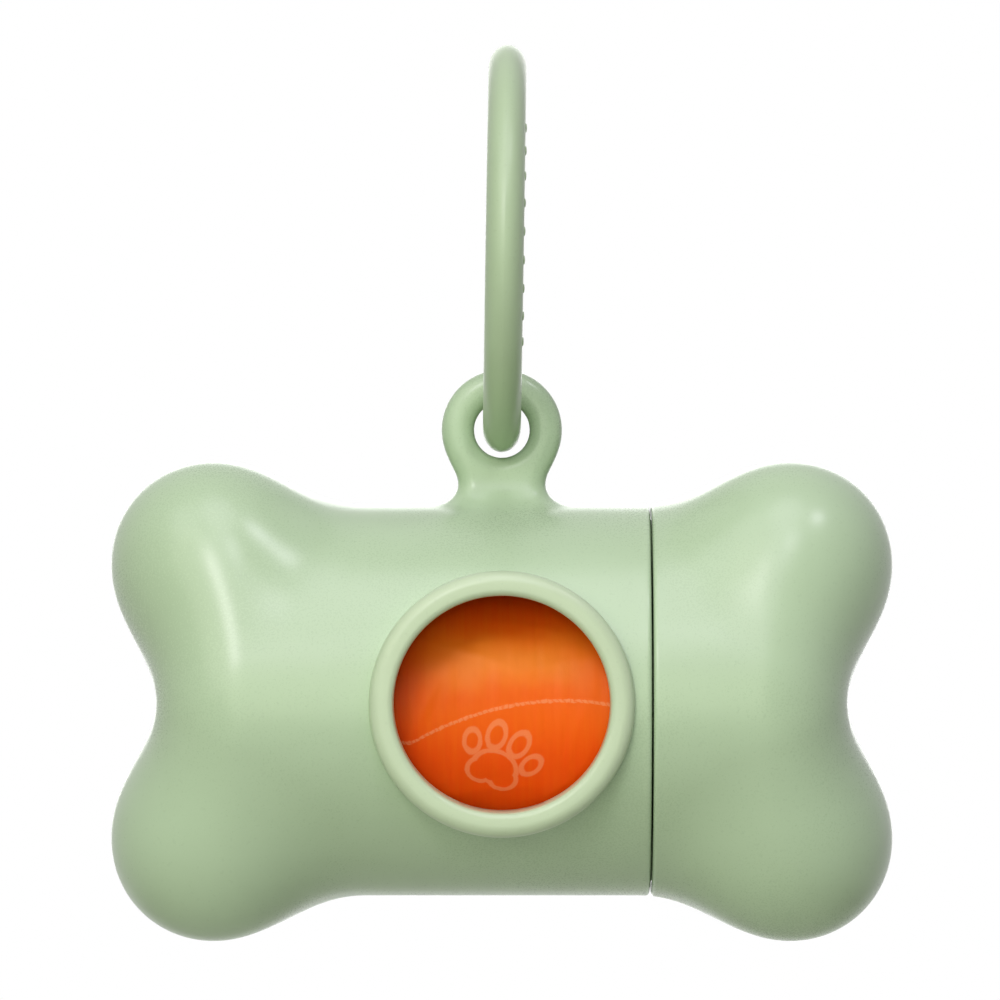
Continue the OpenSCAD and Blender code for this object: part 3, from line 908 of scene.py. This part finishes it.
seat(outer_bag(), "outer_bag", "roll", film_finish(), ["lead_bag"])
seat(wound_bags(), "wound_bags", "roll", wound_finish(), ["bag_roll"])
seat(card_core(), "card_core", "roll", card_finish(), ["roll_core"])


# What keeps its CAD shape

def dress(node, name, body, finish):
    """A copy of a CAD piece, its unjoined faces merged and shaded round."""
    piece = copy_of(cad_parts[node], name)
    edit(piece)
    bpy.ops.mesh.select_all(action="SELECT")
    bpy.ops.mesh.remove_doubles(threshold=TOUCH * MM)
    done()
    smooth(piece, 32)
    piece.data.materials.clear()
    piece.data.materials.append(finish)
    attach(piece, body)
    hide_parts(node)


dress("roll_tube", "threaded_tube", "body", inner_finish)
dress("cap_cup", "threaded_cup", "cap", inner_finish)
dress("neck_seal", "seal_band", "seal", seal_finish)
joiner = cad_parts["ring_joiner"]
joiner.data.materials.clear()
joiner.data.materials.append(inner_finish)


# Floor, light and camera, in metres

FILL_LIGHT, FILL_COLOUR = 0.06, (1.0, 1.0, 0.85, 1)
FLOOR_R, FLOOR_DROP = 0.9, 0.4
FLOOR_TONES = (0.75, 0.76, 0.70), (0.77, 0.78, 0.72)
FADE_FROM, FADE_TO = 0.3 * FLOOR_R, 0.9 * FLOOR_R
LAMP_AWAY = 0.9
COOL, ROSY = (0.91, 0.86, 1.0), (1.0, 0.92, 1.0)
WARM, LEAFY = (1.0, 0.98, 0.86), (0.92, 1.0, 0.76)
# Where the camera stands in the bone's frame, in millimetres, and its film and lens
CAMERA_X, CAMERA_AWAY, CAMERA_Z = -0.2, 1000, 21.63
CAMERA_FILM, CAMERA_LENS = 36, 333


def white_world():
    """White to the eye and in reflections, and a weak fill for everything else."""
    world = bpy.data.worlds.new("white_room")
    bpy.context.scene.world = world
    room = Plan(world)
    white = room.node("ShaderNodeBackground", Color=(1, 1, 1, 1), Strength=1.0)
    fill = room.node("ShaderNodeBackground", Color=FILL_COLOUR, Strength=FILL_LIGHT)
    both = room.node("ShaderNodeMixShader", input_0=room.seen(), input_1=fill.outputs[0],
                     input_2=white.outputs[0])
    room.node("ShaderNodeOutputWorld", Surface=both.outputs[0])


def pale_floor():
    """A round floor that keeps the shadow and fades to the white of the room at its edge."""
    bpy.ops.object.select_all(action="DESELECT")
    bpy.ops.mesh.primitive_circle_add(vertices=96, radius=FLOOR_R, fill_type="NGON",
                                      location=(0, 0, -FLOOR_DROP))
    floor = bpy.context.active_object
    floor.name = "floor"
    ground = Finish("pale_floor", Roughness=0.9, IOR=1.3)
    x, y, _ = ground.parts(ground.place())
    far = (x * x + y * y).root().clear(FADE_FROM, FADE_TO)
    ground.wear(Base_Color=ground.mix(ground.noise(30.0), *FLOOR_TONES))
    glow = ground.node("ShaderNodeEmission", Color=(1, 1, 1, 1), Strength=1.0)
    both = ground.node("ShaderNodeMixShader", input_0=far * ground.seen(),
                       input_1=ground.shader.outputs[0], input_2=glow.outputs[0])
    ground.tree.links.new(both.outputs[0], ground.out.inputs["Surface"])
    floor.data.materials.append(ground.material)


def lamp(name, azimuth, elevation, size, power, colour=(1, 1, 1)):
    """A round softbox that faces the bone. Azimuth 0 is the camera's side, 90 the right."""
    data = bpy.data.lights.new(name, "AREA")
    data.shape, data.size, data.energy, data.color = "DISK", size, power, colour
    light = bpy.data.objects.new(name, data)
    bpy.context.scene.collection.objects.link(light)
    a, e = math.radians(azimuth), math.radians(elevation)
    toward = Vector((math.sin(a) * math.cos(e), -math.cos(a) * math.cos(e), math.sin(e)))
    light.location = Vector((0, 0, -HANG.z * MM)) + LAMP_AWAY * toward
    light.rotation_mode = "QUATERNION"
    light.rotation_quaternion = toward.to_track_quat("Z", "Y")


white_world()
pale_floor()
lamp("key_softbox", -5, 37, 0.5, 1.05, COOL)
lamp("wide_key", -7, 38, 0.8, 0.6, COOL)
lamp("key_spark", -15, 27, 0.19, 1.3, ROSY)
lamp("high_softbox", 0, 66, 0.5, 2.0, COOL)
lamp("high_left", -50, 50, 0.45, 0.9, COOL)
lamp("high_right", 49, 52, 0.15, 1.2, COOL)
lamp("right_spark", 12, 41, 0.2, 0.75, COOL)
lamp("left_softbox", -34, 26, 0.7, 2.1, WARM)
lamp("low_front", -8, 5, 0.5, 1.7, LEAFY)
lamp("behind", 180, 8, 0.6, 2.0)

lens = bpy.data.cameras.new("camera")
lens.sensor_width, lens.lens = CAMERA_FILM, CAMERA_LENS
lens.clip_start, lens.clip_end = 0.05, 20
camera = bpy.data.objects.new("camera", lens)
bpy.context.scene.collection.objects.link(camera)
camera.location = TO_PART @ Vector((CAMERA_X, -CAMERA_AWAY, CAMERA_Z))
camera.rotation_euler = (math.pi / 2, 0, 0)
bpy.context.scene.camera = camera
bpy.context.scene.view_settings.view_transform = "Standard"
